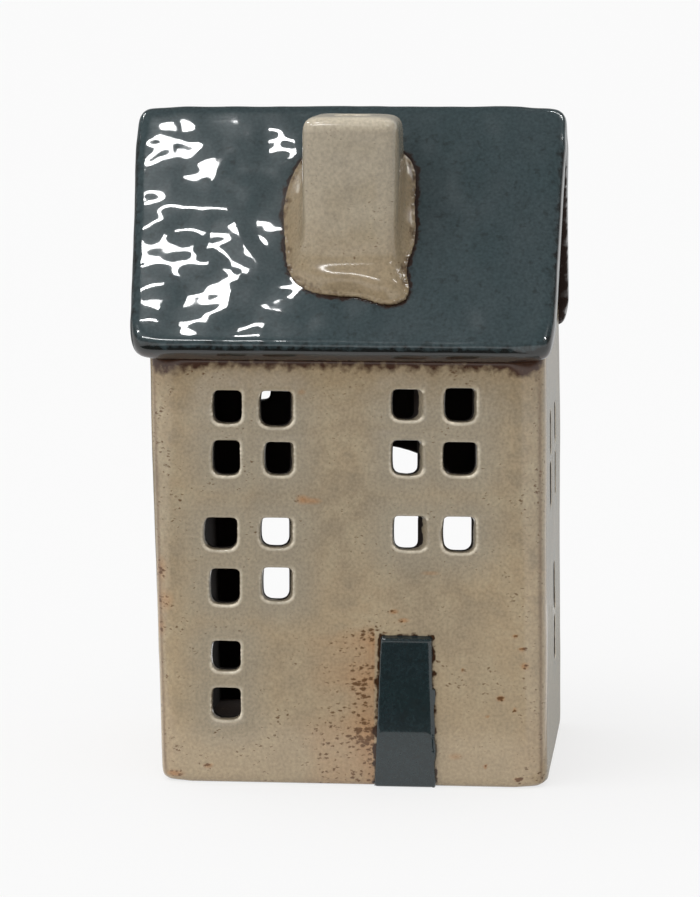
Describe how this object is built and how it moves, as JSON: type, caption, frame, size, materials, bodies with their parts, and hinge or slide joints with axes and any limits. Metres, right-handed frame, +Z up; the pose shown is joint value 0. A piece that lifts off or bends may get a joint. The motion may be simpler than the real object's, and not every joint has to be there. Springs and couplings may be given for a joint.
{
  "type": "tealight house",
  "caption": "Hand-built stoneware candle house with gable roof, chimney, window holes and a rear arch for a tealight.",
  "frame": {"origin": "on the table, under the middle of the roof", "axes": "+X to the right as the front is seen, +Y from the front to the back, +Z up; the front faces -Y"},
  "size_m": [0.112, 0.097, 0.17],
  "materials": {
    "beige_glaze": "glossy beige glaze with brown breaks at the edges",
    "slate_glaze": "glossy slate blue-grey glaze",
    "bare_clay": "unglazed dark brown stoneware",
    "cup_aluminium": "thin drawn aluminium",
    "paraffin_wax": "white paraffin wax",
    "cotton_wick": "waxed braided cotton",
    "tab_steel": "tinned steel"
  },
  "bodies": {
    "house": {"floor_slab": "bare_clay", "front_wall": "beige_glaze", "rear_wall": "beige_glaze", "left_gable_wall": "beige_glaze", "right_gable_wall": "beige_glaze", "front_roof_slab": "slate_glaze", "rear_roof_slab": "slate_glaze", "chimney": "beige_glaze", "chimney_collar": "beige_glaze", "front_door": "slate_glaze"},
    "tealight": {"tealight_cup": "cup_aluminium", "tealight_wax": "paraffin_wax", "tealight_wick": "cotton_wick", "tealight_wick_tab": "tab_steel"}
  },
  "joints": [
    {"name": "tealight_slide", "type": "slide", "parent": "house", "child": "tealight", "axis": [0, 1, 0], "range_m": [0, 0.07]}
  ]
}
